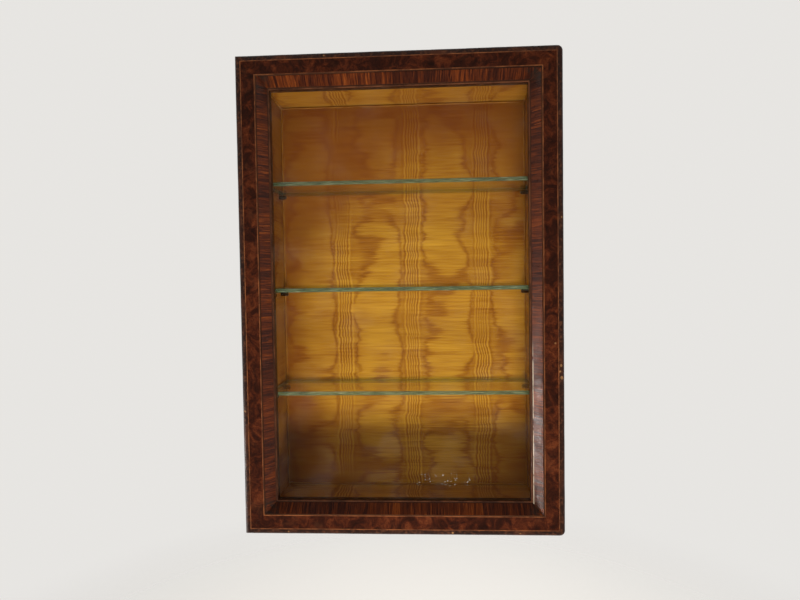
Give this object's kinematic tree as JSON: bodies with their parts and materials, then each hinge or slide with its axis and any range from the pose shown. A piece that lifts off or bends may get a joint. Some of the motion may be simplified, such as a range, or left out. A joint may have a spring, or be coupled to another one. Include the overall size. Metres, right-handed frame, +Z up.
{
  "type": "wall mounted showcase",
  "caption": "Shallow wall-hung display case with a glazed, veneered door on side hinges, glass shelves on pegs and a silk-lined interior.",
  "frame": {"origin": "on the rear face of the back board, on the centre line, level with the middle of the door's height", "axes": "+X to the viewer's right, +Y into the wall, +Z up; the door faces -Y"},
  "size_m": [0.415, 0.138, 0.62],
  "materials": {
    "walnut": "satin polish",
    "ebonised": "worn dark polish",
    "burr": "polished burr veneer",
    "crossband": "polished cross-grain veneer",
    "boxwood": "polished pale inlay",
    "pine": "bare, aged",
    "silk": "watered gold silk",
    "gimp": "twisted cord",
    "shelf_glass": "clear, green edges",
    "pane_glass": "clear",
    "brass": "aged",
    "dark_brass": "dark patina",
    "steel": "aged"
  },
  "bodies": {
    "case": {"back_board": "pine", "case_bottom": "walnut", "case_side_left": "walnut", "case_side_right": "walnut", "case_top": "walnut", "hanger_left": "brass", "hanger_right": "brass", "hinge_lower_case_leaf": "brass", "hinge_lower_pin": "brass", "hinge_upper_case_leaf": "brass", "hinge_upper_pin": "brass", "lining_back": "silk", "lining_bottom": "silk", "lining_gimp": "gimp", "lining_left": "silk", "lining_right": "silk", "lining_top": "silk", "lock_case": "steel", "lock_escutcheon": "brass", "peg_lower_left_back": "dark_brass", "peg_lower_left_front": "dark_brass", "peg_lower_right_back": "dark_brass", "peg_lower_right_front": "dark_brass", "peg_middle_left_back": "dark_brass", "peg_middle_left_front": "dark_brass", "peg_middle_right_back": "dark_brass", "peg_middle_right_front": "dark_brass", "peg_upper_left_back": "dark_brass", "peg_upper_left_front": "dark_brass", "peg_upper_right_back": "dark_brass", "peg_upper_right_front": "dark_brass", "shelf_lower": "shelf_glass", "shelf_middle": "shelf_glass", "shelf_upper": "shelf_glass"},
    "door": {"burr_band_bottom": "burr", "burr_band_left": "burr", "burr_band_right": "burr", "burr_band_top": "burr", "crossband_bottom": "crossband", "crossband_left": "crossband", "crossband_right": "crossband", "crossband_top": "crossband", "door_core_bottom": "walnut", "door_core_left": "walnut", "door_core_right": "walnut", "door_core_top": "walnut", "door_glass": "pane_glass", "edge_moulding_bottom": "ebonised", "edge_moulding_left": "ebonised", "edge_moulding_right": "ebonised", "edge_moulding_top": "ebonised", "glazing_bead": "walnut", "hinge_lower_door_leaf": "brass", "hinge_upper_door_leaf": "brass", "lock_hook_plate": "brass", "sight_bead": "boxwood", "stringing_inner": "boxwood", "stringing_outer": "boxwood"},
    "follower": {"lock_follower": "steel"},
    "bolt": {"lock_bolt": "steel"}
  },
  "joints": [
    {"name": "door_hinge", "type": "hinge", "parent": "case", "child": "door", "pos_m": [-0.203, -0.1095, 0], "axis": [0, 0, -1], "range_deg": [0, 150]},
    {"name": "lock_follower_turn", "type": "hinge", "parent": "case", "child": "follower", "pos_m": [0.193, -0.088, -0.066], "axis": [-1, 0, 0], "range_deg": [0, 90]},
    {"name": "lock_bolt_slide", "type": "slide", "parent": "case", "child": "bolt", "axis": [0, 0, 1], "range_m": [0, 0.0063]}
  ],
  "couplings": [
    {"joint": "lock_bolt_slide", "follows": "lock_follower_turn", "m_per_rad": 0.00401}
  ]
}
